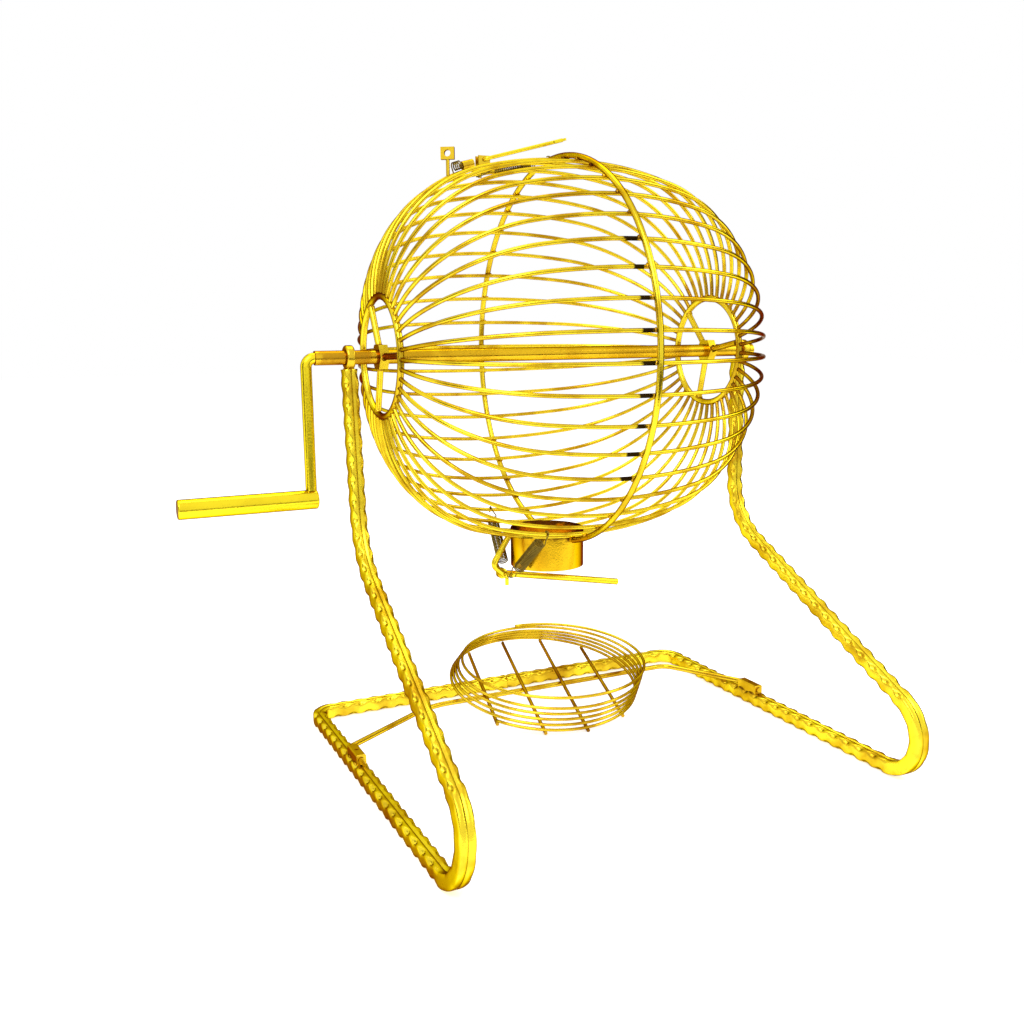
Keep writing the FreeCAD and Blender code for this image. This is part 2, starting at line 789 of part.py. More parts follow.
def tray_point(turn):
    """Centre of the tray's wire after some turns, counted down from the rim."""
    wound = max(0.0, min(tray_even_turns, turn - 0.5))
    share = (wound + min(wound, 1.0)) / (tray_even_turns + 1)
    foot_front_z = floor_z + tray_wire_diameter / 2 + tray_floor_diameter
    radius = tray_rim_radius + (tray_foot_radius - tray_rim_radius) * share
    front_z = tray_rim_front_z + (foot_front_z - tray_rim_front_z) * share
    rear_z = tray_rim_rear_z + (tray_foot_rear_z - tray_rim_rear_z) * share
    front_y = tray_rim_front + (tray_foot_front - tray_rim_front) * share
    x = tray_rim_x + (tray_foot_x - tray_rim_x) * share
    tilt = math.asin((rear_z - front_z) / (2 * radius))
    angle = math.pi / 2 - 2 * math.pi * turn
    depth = radius * (1 + math.sin(angle))
    return Vector(
        x + radius * math.cos(angle),
        front_y + depth * math.cos(tilt),
        front_z + depth * math.sin(tilt),
    )


def tray_coil():
    """One wire wound down from the rim to the foot of the tray."""
    step = 0.001
    nodes = []
    for index in range(int(round(tray_turns * 8)) + 1):
        turn = index / 8
        heading = (tray_point(turn + step) - tray_point(turn - step)).normalize()
        nodes.append((tray_point(turn), heading))
    edges = joined(nodes)
    print("%-22s least gap to itself %.2f" % ("tray_coil", least_gap(edges, tray_wire_diameter)))
    return round_bar(edges, tray_wire_diameter)


def tray_floor_ends(index):
    """Ends of one floor wire, under the tray's lowest turn."""
    offset = tray_floor_pitch * (index - (tray_floor_count - 1) / 2)
    swing = math.degrees(math.asin(offset / tray_foot_radius))
    lowest = tray_even_turns
    front_turn = lowest + 0.5 + (tray_floor_turn - swing) / 360
    rear_turn = lowest + (tray_floor_turn + swing) / 360
    if rear_turn < lowest:
        rear_turn += 1
    drop = Vector(0, 0, weld_depth / 3 - (tray_wire_diameter + tray_floor_diameter) / 2)
    front = tray_point(front_turn) + drop
    rear = tray_point(rear_turn) + drop
    spare = (front - rear).normalize() * tray_floor_overhang
    return rear - spare, front + spare


def tray_floor_wire(index):
    """One straight wire of the tray's floor."""
    rear, front = tray_floor_ends(index)
    return rod(rear, front, tray_floor_diameter)


def tray_rod():
    """Bent rod that carries the tray, its two ends turned forward into the sockets."""
    rear, front = tray_floor_ends(1)
    middle = rear + (front - rear) * tray_rod_place
    sunk = (tray_floor_diameter + tray_rod_diameter) / 2 - weld_depth
    rod_z = middle.z - sunk / math.cos(math.atan2(rear.z - front.z, rear.y - front.y))
    ends = []
    for side, socket_y in ((-1, left_socket_y), (1, right_socket_y)):
        x = side * rail_x(socket_y)
        foot = Vector(x, socket_y - socket_length / 2 - tray_rod_spare, tray_rod_z)
        mouth = Vector(x, socket_y + socket_length / 2 + socket_mouth_gap, tray_rod_z)
        ends.append((foot, mouth))
    points = [
        ends[0][0],
        ends[0][1],
        Vector(tray_rod_left_bend_x, middle.y, rod_z),
        Vector(tray_rod_right_bend_x, middle.y, rod_z),
        ends[1][1],
        ends[1][0],
    ]
    radii = (tray_rod_end_bend, tray_rod_wide_bend, tray_rod_tight_bend, tray_rod_end_bend)
    print("%-22s middle y %.1f z %.1f" % ("tray_rod", middle.y, rod_z))
    return round_bar(rounded_edges(points, radii), tray_rod_diameter)


save("tray_coil", tray_coil())
save("tray_floor_wires", *[tray_floor_wire(index) for index in range(tray_floor_count)])
save("tray_rod", tray_rod())
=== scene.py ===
"""Looks of a wire raffle drum with crank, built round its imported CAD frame."""

import logging
import math
import random
from dataclasses import dataclass, field
from enum import Enum

import bmesh
import bpy
from mathutils import Matrix, Vector

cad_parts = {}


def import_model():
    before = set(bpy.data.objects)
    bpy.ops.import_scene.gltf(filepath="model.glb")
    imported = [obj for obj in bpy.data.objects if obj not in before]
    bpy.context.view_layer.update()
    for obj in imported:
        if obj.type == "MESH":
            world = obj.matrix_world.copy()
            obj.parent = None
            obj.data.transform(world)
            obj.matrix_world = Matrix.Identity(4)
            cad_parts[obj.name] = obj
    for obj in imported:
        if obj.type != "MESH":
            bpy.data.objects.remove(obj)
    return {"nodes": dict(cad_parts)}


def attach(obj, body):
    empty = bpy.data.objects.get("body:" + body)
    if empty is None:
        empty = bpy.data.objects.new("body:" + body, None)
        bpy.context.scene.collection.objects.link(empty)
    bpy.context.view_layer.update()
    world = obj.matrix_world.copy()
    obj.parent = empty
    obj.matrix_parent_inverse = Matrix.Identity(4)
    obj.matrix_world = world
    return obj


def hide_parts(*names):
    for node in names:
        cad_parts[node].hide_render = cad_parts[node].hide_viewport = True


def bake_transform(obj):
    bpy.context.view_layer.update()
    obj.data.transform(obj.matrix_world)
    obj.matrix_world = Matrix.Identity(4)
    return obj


LOG = logging.getLogger("raffle_drum")
MM = 0.001
AXLE_ROW = Vector((0.0, -0.0815, 0.246))
TIGHT_BEND = 0.04


def row(x: float, y: float, z: float) -> Vector:
    """Turn a place measured from the axle's centre into the row frame.

    Args:
        x: Millimetres along the axle, away from the crank.
        y: Millimetres to the rear.
        z: Millimetres up.

    Returns:
        The same place in the row frame, in metres.
    """
    return Vector((x, y, z)) * MM + AXLE_ROW


def polar(x: float, radius: float, angle: float) -> Vector:
    """Place at a radius from the axle, in the row frame.

    Args:
        x: Millimetres along the axle.
        radius: Millimetres from the axle.
        angle: Degrees, 0 at the front and 90 at the top.

    Returns:
        The place in metres.
    """
    turn = math.radians(angle)
    return row(x, -radius * math.cos(turn), radius * math.sin(turn))


# Node groups


def new_group(
    name: str, inputs: dict[str, tuple[str, object]], outputs: dict[str, str]
) -> bpy.types.NodeTree:
    """Make an empty shader node group with named sockets.

    Args:
        name: The group's name.
        inputs: Socket name to its type and default.
        outputs: Socket name to its type.

    Returns:
        The new group, with its input and output nodes in place.
    """
    tree = bpy.data.node_groups.new(name, "ShaderNodeTree")
    for label, (kind, value) in inputs.items():
        socket = tree.interface.new_socket(name=label, in_out="INPUT", socket_type=kind)
        socket.default_value = value
    for label, kind in outputs.items():
        tree.interface.new_socket(name=label, in_out="OUTPUT", socket_type=kind)
    tree.nodes.new("NodeGroupInput").name = "In"
    tree.nodes.new("NodeGroupOutput").name = "Out"
    return tree


@dataclass
class Graph:
    """Short ways to add and join nodes in one tree."""

    tree: bpy.types.NodeTree

    def node(self, kind: str, settings: dict[str, object] | None = None, **inputs: object) -> bpy.types.Node:
        """Add a node, set its options and join or fill its inputs.

        Args:
            kind: Blender's name of the node type.
            settings: Options of the node itself.
            inputs: Input name, spaces as underscores, or i0, i1 for a place, to a socket or a value.

        Returns:
            The node.
        """
        made = self.tree.nodes.new(kind)
        for key, value in (settings or {}).items():
            setattr(made, key, value)
        for key, value in inputs.items():
            place = int(key[1:]) if key[0] == "i" and key[1:].isdigit() else key.replace("_", " ")
            if isinstance(value, bpy.types.NodeSocket):
                self.tree.links.new(value, made.inputs[place])
            else:
                made.inputs[place].default_value = value
        return made

    def math(self, operation: str, *values: object, clamp: bool = False) -> bpy.types.NodeSocket:
        """Add a Math node.

        Args:
            operation: The operation.
            values: Sockets or numbers.
            clamp: Whether the result is kept from 0 to 1.

        Returns:
            The result's socket.
        """
        inputs = {f"i{index}": value for index, value in enumerate(values)}
        return self.node("ShaderNodeMath", {"operation": operation, "use_clamp": clamp}, **inputs).outputs[0]

    def ramp(self, value: bpy.types.NodeSocket, low: float, high: float) -> bpy.types.NodeSocket:
        """Ease a value from one span into the span from 0 to 1.

        Args:
            value: The value's socket.
            low: Where the span starts.
            high: Where the span ends.

        Returns:
            The result's socket.
        """
        made = self.node("ShaderNodeMapRange", {"interpolation_type": "SMOOTHSTEP"}, Value=value)
        made.inputs["From Min"].default_value = low
        made.inputs["From Max"].default_value = high
        return made.outputs["Result"]

    def mix(self, share: object, first: object, second: object) -> bpy.types.NodeSocket:
        """Mix two colours.

        Args:
            share: Share of the second colour.
            first: First colour or its socket.
            second: Second colour or its socket.

        Returns:
            The mixed colour's socket.
        """
        made = self.tree.nodes.new("ShaderNodeMix")
        made.data_type = "RGBA"
        for place, value in ((0, share), (6, first), (7, second)):
            if isinstance(value, bpy.types.NodeSocket):
                self.tree.links.new(value, made.inputs[place])
            else:
                made.inputs[place].default_value = value
        return made.outputs[2]

    def seen_share(self) -> bpy.types.NodeSocket:
        """Where the eye or a mirror looks, as against light falling on a piece.

        Returns:
            A socket, 1 for camera, glossy and transmission rays.
        """
        path = self.node("ShaderNodeLightPath")
        seen = self.math("MAXIMUM", path.outputs["Is Camera Ray"], path.outputs["Is Glossy Ray"])
        return self.math("MAXIMUM", seen, path.outputs["Is Transmission Ray"])


def plating_tone_group() -> bpy.types.NodeTree:
    """Uneven brass-coloured plating: broad drifts of tone and fine darker specks.

    Returns:
        A group that puts out a colour and a roughness.
    """
    tree = new_group(
        "PlatingTone",
        {
            "Bright": ("NodeSocketColor", (0.8, 0.5, 0.01, 1)),
            "Deep": ("NodeSocketColor", (0.4, 0.2, 0.0, 1)),
            "Gloss": ("NodeSocketFloat", 0.2),
            "Drift": ("NodeSocketFloat", 0.5),
        },
        {"Color": "NodeSocketColor", "Roughness": "NodeSocketFloat"},
    )
    graph = Graph(tree)
    entry, leave = tree.nodes["In"], tree.nodes["Out"]
    place = graph.node("ShaderNodeTexCoord").outputs["Object"]
    broad = graph.node("ShaderNodeTexNoise", Vector=place, Scale=38.0, Detail=3.0, Roughness=0.55).outputs["Fac"]
    fine = graph.node("ShaderNodeTexNoise", Vector=place, Scale=420.0, Detail=4.0, Roughness=0.65).outputs["Fac"]
    drift = graph.math("MULTIPLY", graph.ramp(broad, 0.42, 0.68), entry.outputs["Drift"])
    speck = graph.math("MULTIPLY", graph.ramp(fine, 0.58, 0.78), 0.45)
    share = graph.math("MAXIMUM", drift, speck, clamp=True)
    tree.links.new(graph.mix(share, entry.outputs["Bright"], entry.outputs["Deep"]), leave.inputs["Color"])
    rough = graph.math("ADD", entry.outputs["Gloss"], graph.math("MULTIPLY", share, 0.16), clamp=True)
    tree.links.new(rough, leave.inputs["Roughness"])
    return tree


def dark_band_group() -> bpy.types.NodeTree:
    """Dark bands across a direction, with ragged edges.

    Returns:
        A group that puts out a mask, 1 where the band darkens the metal.
    """
    tree = new_group(
        "HeatMark",
        {
            "Direction": ("NodeSocketVector", (1.0, 0.0, 0.0)),
            "Centre": ("NodeSocketFloat", 0.0),
            "Reach": ("NodeSocketFloat", 0.008),
            "Amount": ("NodeSocketFloat", 1.0),
            "Front": ("NodeSocketFloat", 1.0),
        },
        {"Mask": "NodeSocketFloat"},
    )
    graph = Graph(tree)
    entry, leave = tree.nodes["In"], tree.nodes["Out"]
    place = graph.node("ShaderNodeTexCoord").outputs["Object"]
    parts = graph.node("ShaderNodeSeparateXYZ", Vector=place)
    along = graph.node("ShaderNodeVectorMath", {"operation": "DOT_PRODUCT"}, i0=place, i1=entry.outputs["Direction"])
    ragged = graph.node("ShaderNodeTexNoise", Vector=place, Scale=95.0, Detail=3.0, Roughness=0.6).outputs["Fac"]
    away = graph.math("ABSOLUTE", graph.math("SUBTRACT", along.outputs["Value"], entry.outputs["Centre"]))
    share = graph.math("DIVIDE", away, entry.outputs["Reach"])
    edge = graph.math("ADD", share, graph.math("MULTIPLY", graph.math("SUBTRACT", ragged, 0.5), 2.2))
    front = graph.math("LESS_THAN", parts.outputs["Y"], entry.outputs["Front"])
    mask = graph.math("MULTIPLY", graph.ramp(edge, 1.0, 0.55), entry.outputs["Amount"], clamp=True)
    mask = graph.math("MULTIPLY", mask, front)
    tree.links.new(mask, leave.inputs["Mask"])
    return tree


def hand_polish_group() -> bpy.types.NodeTree:
    """Fine relief of drawn and polished metal.

    Returns:
        A group that puts out a height.
    """
    tree = new_group(
        "HandPolish",
        {"Grain": ("NodeSocketFloat", 900.0), "Dents": ("NodeSocketFloat", 70.0), "Share": ("NodeSocketFloat", 0.4)},
        {"Height": "NodeSocketFloat"},
    )
    graph = Graph(tree)
    entry, leave = tree.nodes["In"], tree.nodes["Out"]
    place = graph.node("ShaderNodeTexCoord").outputs["Object"]
    grain = graph.node("ShaderNodeTexNoise", Vector=place, Scale=entry.outputs["Grain"], Detail=2.0).outputs["Fac"]
    dents = graph.node("ShaderNodeTexNoise", Vector=place, Scale=entry.outputs["Dents"], Detail=1.5).outputs["Fac"]
    height = graph.math("ADD", graph.math("MULTIPLY", grain, entry.outputs["Share"]), dents)
    tree.links.new(height, leave.inputs["Height"])
    return tree


# Finishes


@dataclass(frozen=True)
class DarkBand:
    """A dark band on one kind of piece, in the row frame."""

    centre: float
    reach: float
    amount: float = 0.9
    direction: tuple[float, float, float] = (1.0, 0.0, 0.0)
    front: float = 1.0
    colour: tuple[float, float, float] = (0.035, 0.012, 0.006)

    def mask(self, graph: Graph, group: bpy.types.NodeTree) -> bpy.types.NodeSocket:
        """Add the band's mask to a material.

        Args:
            graph: The material's graph.
            group: The shared dark band group.

        Returns:
            The mask's socket.
        """
        mark = graph.node("ShaderNodeGroup", {"node_tree": group})
        for label, value in (
            ("Direction", self.direction), ("Centre", self.centre), ("Reach", self.reach),
            ("Amount", self.amount), ("Front", self.front),
        ):
            mark.inputs[label].default_value = value
        return mark.outputs["Mask"]


@dataclass(frozen=True)
class Plating:
    """Bright brass-coloured plating on one kind of piece, with painted shade on edges that turn away from the view.
    """

    name: str
    bright: tuple[float, float, float] = (0.88, 0.67, 0.03)
    deep: tuple[float, float, float] = (0.46, 0.24, 0.006)
    # Painted shade: edges that turn away from the view darken towards this colour, by the share and over the span
    # below.
    rim: tuple[float, float, float] = (0.13, 0.055, 0.002)
    edge: tuple[float, float, float] = (0.30, 0.14, 0.01)
    painted_edge_shade_share: float = 0.85
    gloss: float = 0.17
    drift: float = 0.5
    dents: float = 70.0
    relief: float = 0.18
    relief_height: float = 0.0006
    painted_edge_shade_span: tuple[float, float] = (0.34, 0.84)
    dark_band_roughness: float = 0.25
    dark_bands: tuple[DarkBand, ...] = ()

    def material(self, groups: dict[str, bpy.types.NodeTree]) -> bpy.types.Material:
        """Build the material.

        Args:
            groups: The shared node groups by name.

        Returns:
            The finished material.
        """
        made = bpy.data.materials.new(self.name)
        made.use_nodes = True
        tree = made.node_tree
        graph = Graph(tree)
        shader = tree.nodes["Principled BSDF"]
        tone = graph.node("ShaderNodeGroup", {"node_tree": groups["PlatingTone"]})
        tone.inputs["Bright"].default_value = (*self.bright, 1)
        tone.inputs["Deep"].default_value = (*self.deep, 1)
        tone.inputs["Gloss"].default_value = self.gloss
        tone.inputs["Drift"].default_value = self.drift
        colour, rough = tone.outputs["Color"], tone.outputs["Roughness"]
        # Painted shade: where the surface turns away from the view, the colour darkens towards the rim colour.
        turned = graph.node("ShaderNodeLayerWeight", Blend=0.5).outputs["Facing"]
        share = graph.math("MULTIPLY", graph.ramp(turned, *self.painted_edge_shade_span), self.painted_edge_shade_share)
        colour = graph.mix(share, colour, (*self.rim, 1))
        for dark_band in self.dark_bands:
            mask = dark_band.mask(graph, groups["HeatMark"])
            colour = graph.mix(mask, colour, (*dark_band.colour, 1))
            rough = graph.math("ADD", rough, graph.math("MULTIPLY", mask, self.dark_band_roughness), clamp=True)
        relief = graph.node("ShaderNodeGroup", {"node_tree": groups["HandPolish"]})
        relief.inputs["Dents"].default_value = self.dents
        height = relief.outputs["Height"]
        bump = graph.node("ShaderNodeBump", Strength=self.relief, Distance=self.relief_height, Height=height)
        tree.links.new(colour, shader.inputs["Base Color"])
        tree.links.new(rough, shader.inputs["Roughness"])
        tree.links.new(bump.outputs["Normal"], shader.inputs["Normal"])
        shader.inputs["Metallic"].default_value = 1.0
        shader.inputs["Specular Tint"].default_value = (*self.edge, 1)
        return made


# Dark reddish brown of two dark bands, at the right end ring and at the axle's right end.
DARK_RED_BROWN = (0.22, 0.045, 0.006)
UPWARD = (0.0, 0.0, 1.0)


class Finish(Enum):
    """The finishes of the drum, each with its plating."""

    CAGE_WIRE = Plating(
        "plated_cage_wire", drift=0.85, gloss=0.18,
        dark_bands=(
            # Near-black patches on the wires at the cage's front, just left of the middle ring, and a dark reddish
            # band where the wires meet the right end ring.
            DarkBand(-0.0062, 0.0046, 0.98, front=-0.172, colour=(0.012, 0.004, 0.003)),
            DarkBand(0.1145, 0.0022, 0.6, colour=DARK_RED_BROWN),
        ),
    )
    CAGE_RING = Plating("plated_ring_rod", drift=0.7, gloss=0.17, dents=55.0, relief=0.25)
    AXLE = Plating(
        "plated_axle_tube", bright=(0.82, 0.52, 0.02), deep=(0.42, 0.19, 0.004), gloss=0.18,
        # A brown band over the axle's left end by the left bearing, and a dark reddish band at its right end by the
        # right bearing.
        dark_bands=(DarkBand(-0.137, 0.02, 0.6, colour=(0.36, 0.13, 0.006)), DarkBand(0.143, 0.006, 0.85, colour=DARK_RED_BROWN)),
    )
    CRANK = Plating("plated_crank", bright=(0.98, 0.77, 0.022), gloss=0.2, drift=0.2, painted_edge_shade_share=0.6)
    STAND = Plating(
        "plated_square_bar", bright=(0.95, 0.74, 0.035), deep=(0.46, 0.22, 0.005), gloss=0.24, drift=0.75,
        dents=120.0, relief=0.3, painted_edge_shade_share=0.6,
    )
    FITTING = Plating("plated_fitting", bright=(0.82, 0.56, 0.03), gloss=0.25, drift=0.7, painted_edge_shade_share=0.7)
    TRAY = Plating("plated_tray_wire", bright=(0.82, 0.58, 0.03), gloss=0.18, drift=0.9)
    TRAY_FLOOR = Plating(
        "plated_floor_wire", bright=(0.62, 0.36, 0.02), deep=(0.20, 0.075, 0.004), drift=0.9
    )
    OUTLET = Plating(
        "plated_outlet_tube", bright=(0.80, 0.48, 0.012), deep=(0.40, 0.17, 0.003), gloss=0.17, drift=0.5,
        painted_edge_shade_share=0.9,
        # A near-black band round the tube's upper end, where it meets the bottom of the cage.
        dark_bands=(DarkBand(0.137, 0.0065, 0.92, direction=UPWARD, colour=(0.085, 0.014, 0.005)),),
    )
    LEVER = Plating("plated_lever", bright=(0.95, 0.75, 0.03), gloss=0.18, drift=0.4)
    WELD = Plating(
        "weld_bead", bright=(0.68, 0.40, 0.02), deep=(0.09, 0.022, 0.004), gloss=0.32, drift=1.0, relief=0.5
    )
    SPRING = Plating(
        "spring_wire", bright=(0.24, 0.17, 0.035), deep=(0.05, 0.026, 0.008), rim=(0.004, 0.002, 0.001),
        edge=(0.12, 0.08, 0.03), gloss=0.22, painted_edge_shade_share=0.95,
    )


@dataclass
class Wardrobe:
    """Makes each material once and puts it on pieces."""

    groups: dict[str, bpy.types.NodeTree] = field(default_factory=dict)
    made: dict[Finish, bpy.types.Material] = field(default_factory=dict)

    def __post_init__(self) -> None:
        """Build the shared node groups."""
        for build in (plating_tone_group, dark_band_group, hand_polish_group):
            tree = build()
            self.groups[tree.name] = tree

    def dress(self, piece: bpy.types.Object, finish: Finish) -> None:
        """Give a piece one material.

        Args:
            piece: The object.
            finish: Its finish.
        """
        if finish not in self.made:
            self.made[finish] = finish.value.material(self.groups)
        piece.data.materials.clear()
        piece.data.materials.append(self.made[finish])


# Shapes


def finished_object(
    name: str, mesh: bmesh.types.BMesh, body: str | None
) -> bpy.types.Object:
    """Turn a mesh in the row frame into a piece on its body.

    Args:
        name: The piece's name.
        mesh: Its shape; it is freed.
        body: The CAD body it rides on, or None.

    Returns:
        The piece.
    """
    bmesh.ops.recalc_face_normals(mesh, faces=mesh.faces)
    for face in mesh.faces:
        face.smooth = True
    data = bpy.data.meshes.new(name)
    mesh.to_mesh(data)
    mesh.free()
    piece = bpy.data.objects.new(name, data)
    bpy.context.scene.collection.objects.link(piece)
    if body:
        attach(piece, body)
    LOG.info("%s: %d faces on %s", name, len(data.polygons), body)
    return piece


def add_bead(
    mesh: bmesh.types.BMesh,
    centre: Vector,
    sizes: tuple[float, float, float],
    along: Vector,
    chance: random.Random,
) -> None:
    """Add one lumpy weld bead.

    Args:
        mesh: The mesh it joins.
        centre: Its place in the row frame.
        sizes: Half sizes in millimetres, the first one along the given direction.
        along: Direction of its long side.
        chance: Source of its small irregularities.
    """
    made = bmesh.ops.create_icosphere(mesh, subdivisions=2, radius=MM)
    turn = along.to_track_quat("X", "Z").to_matrix().to_4x4()
    scale = Matrix.Diagonal((*sizes, 1.0))
    bmesh.ops.transform(mesh, matrix=Matrix.Translation(centre) @ turn @ scale, verts=made["verts"])
    for vert in made["verts"]:
        vert.co += (vert.co - centre) * chance.uniform(-0.16, 0.12)


def sweep_round(mesh: bmesh.types.BMesh, points: list[Vector], radius: float, sides: int) -> None:
    """Sweep a closed round wire along points.

    Args:
        mesh: The mesh it joins.
        points: Its centre line, in metres.
        radius: The wire's radius, in metres.
        sides: Points round the wire.
    """
    ring, edges = [], []
    side = (points[1] - points[0]).orthogonal()
    for index, point in enumerate(points):
        ahead, behind = points[min(index + 1, len(points) - 1)], points[max(index - 1, 0)]
        heading = (ahead - behind).normalized()
        side = (side - heading * side.dot(heading)).normalized()
        upward = heading.cross(side)
        if index == 0:
            ring = bmesh.ops.create_circle(mesh, cap_ends=True, segments=sides, radius=radius)["verts"]
            edges = list({edge for vert in ring for edge in vert.link_edges})
        else:
            made = bmesh.ops.extrude_edge_only(mesh, edges=edges)["geom"]
            edges = [item for item in made if isinstance(item, bmesh.types.BMEdge)]
            ring = [item for item in made if isinstance(item, bmesh.types.BMVert)]
        for number, vert in enumerate(ring):
            turn = 2 * math.pi * number / sides
            vert.co = point + (side * math.cos(turn) + upward * math.sin(turn)) * radius
    bmesh.ops.holes_fill(mesh, edges=edges, sides=0)


def eased(start: Vector, heading: Vector, end: Vector, leaving: Vector, count: int) -> list[Vector]:
    """Points of a smooth bend between two places, without its ends.

    Args:
        start: Where it starts.
        heading: Unit direction at the start.
        end: Where it ends.
        leaving: Unit direction at the end.
        count: How many points.

    Returns:
        The points.
    """
    pull = (end - start).length * 1.2
    points = []
    for index in range(1, count + 1):
        t = index / (count + 1)
        blend = (2 * t ** 3 - 3 * t * t + 1, t ** 3 - 2 * t * t + t, 3 * t * t - 2 * t ** 3, t ** 3 - t * t)
        points.append(start * blend[0] + heading * (pull * blend[1]) + end * blend[2] + leaving * (pull * blend[3]))
    return points


@dataclass(frozen=True)
class Coil:
    """A tension spring of one unbroken wire with a hook at each end, in millimetres from the axle's centre."""

    name: str
    lower: tuple[float, float, float]
    upper: tuple[float, float, float]
    lower_way: tuple[float, float, float]
    upper_way: tuple[float, float, float]
    lower_rod: float
    upper_rod: float
    side_hint: tuple[float, float, float]
    coil: float
    lead: float
    wire: float = 0.8
    pitch: float = 1.28
    clearance: float = 0.35
    steps: int = 20

    def hook(
        self, centre: Vector, axis: Vector, side: Vector, way: Vector, rod_diameter: float
    ) -> list[tuple[Vector, Vector]]:
        """Points and directions of a hook, from its free end to the coils.

        Args:
            centre: Middle of what it grips.
            axis: Direction towards the coils.
            side: Side on which the wire reaches the coils.
            way: Direction of what it grips.
            rod_diameter: Its diameter.

        Returns:
            Places with their directions.
        """
        radius = (rod_diameter / 2 + self.wire / 2 + self.clearance) / abs(way.dot(axis.cross(side)))
        nodes = []
        for angle in range(75, 271, 15):
            turn = math.radians(angle)
            point = centre + (axis * math.cos(turn) + side * math.sin(turn)) * radius
            nodes.append((point, side * math.cos(turn) - axis * math.sin(turn)))
        return nodes

    def path(self) -> list[Vector]:
        """The wire's centre line.

        Returns:
            Its points in the row frame.
        """
        lower, upper = Vector(self.lower), Vector(self.upper)
        axis = (upper - lower).normalized()
        turns = int(((upper - lower).length - 2 * self.lead) / self.pitch) + 0.25
        hint = Vector(self.side_hint)
        side = (hint - axis * hint.dot(axis)).normalized()
        across = axis.cross(side)
        last = math.pi * (1 + 2 * turns)
        upper_side = side * -math.cos(last) - across * math.sin(last)
        radius, rise = self.coil / 2, self.pitch / (math.pi * self.coil)
        coils = []
        for step in range(int(self.steps * turns) + 1):
            turn = math.pi + 2 * math.pi * step / self.steps
            out = side * math.cos(turn) + across * math.sin(turn)
            onward = (across * math.cos(turn) - side * math.sin(turn) + axis * rise).normalized()
            coils.append((lower + axis * (self.lead + self.pitch * step / self.steps) + out * radius, onward))
        first = self.hook(lower, axis, side, Vector(self.lower_way), self.lower_rod)
        second = self.hook(upper, -axis, upper_side, Vector(self.upper_way), self.upper_rod)
        second = [(point, direction * -1) for point, direction in reversed(second)]
        points = [point for point, _ in first]
        points += eased(*first[-1], *coils[0], 8)
        points += [point for point, _ in coils]
        points += eased(*coils[-1], *second[0], 10)
        points += [point for point, _ in second]
        return [row(*point) for point in points]

    def build(self, wardrobe: Wardrobe, from_body: str, to_body: str) -> None:
        """Make the spring in place of its CAD node.

        Args:
            wardrobe: Where the finish comes from.
            from_body: Not used.
            to_body: Not used.
        """
        mesh = bmesh.new()
        sweep_round(mesh, self.path(), self.wire / 2 * MM, 8)
        piece = finished_object(f"wound_{self.name}", mesh, None)
        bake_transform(piece)
        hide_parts(self.name)
        wardrobe.dress(piece, Finish.SPRING)


@dataclass
class Route:
    """A bent bar's centre line with a frame at each place along it."""

    points: list[Vector] = field(default_factory=list)
    curved: list[bool] = field(default_factory=list)

    @classmethod
    def through(cls, corners: list[Vector], radii: list[float], step: float) -> "Route":
        """Follow straight runs and round bends.

        Args:
            corners: The polyline's corners, in metres.
            radii: Bend radius at each inner corner.
            step: Distance between places, in metres.

        Returns:
            The route.
        """
        route = cls()
        last = corners[0]
        for before, corner, after, radius in zip(corners, corners[1:], corners[2:], radii):
            arriving = (corner - before).normalized()
            leaving = (after - corner).normalized()
            turn = arriving.angle(leaving)
            reach = radius * math.tan(turn / 2)
            route.line(last, corner - arriving * reach, step)
            centre = corner - arriving * reach + (leaving - arriving * arriving.dot(leaving)).normalized() * radius
            axis = arriving.cross(leaving).normalized()
            arm = corner - arriving * reach - centre
            count = max(4, math.ceil(radius * turn / step))
            for index in range(count):
                route.points.append(centre + Matrix.Rotation(turn * index / count, 3, axis) @ arm)
                route.curved.append(radius < TIGHT_BEND)
            last = corner + leaving * reach
        route.line(last, corners[-1], step)
        route.points.append(corners[-1])
        route.curved.append(False)
        return route

    def line(self, start: Vector, end: Vector, step: float) -> None:
        """Add a straight run without its last place.

        Args:
            start: Its start.
            end: Its end.
            step: Distance between places.
        """
        count = max(1, math.ceil((end - start).length / step))
        for index in range(count):
            self.points.append(start.lerp(end, index / count))
            self.curved.append(False)

    def frames(self, first_side: Vector) -> list[tuple[Vector, Vector, Vector, float]]:
        """Carry a side direction along without twist.

        Args:
            first_side: Side direction at the start.

        Returns:
            Point, side, upward direction and distance at each place.
        """
        result = []
        side, distance = first_side, 0.0
        for index, point in enumerate(self.points):
            ahead = self.points[min(index + 1, len(self.points) - 1)]
            behind = self.points[max(index - 1, 0)]
            heading = (ahead - behind).normalized()
            side = (side - heading * side.dot(heading)).normalized()
            if index:
                distance += (point - behind).length
            result.append((point, side, heading.cross(side).normalized(), distance))
        return result


# Sub-assemblies


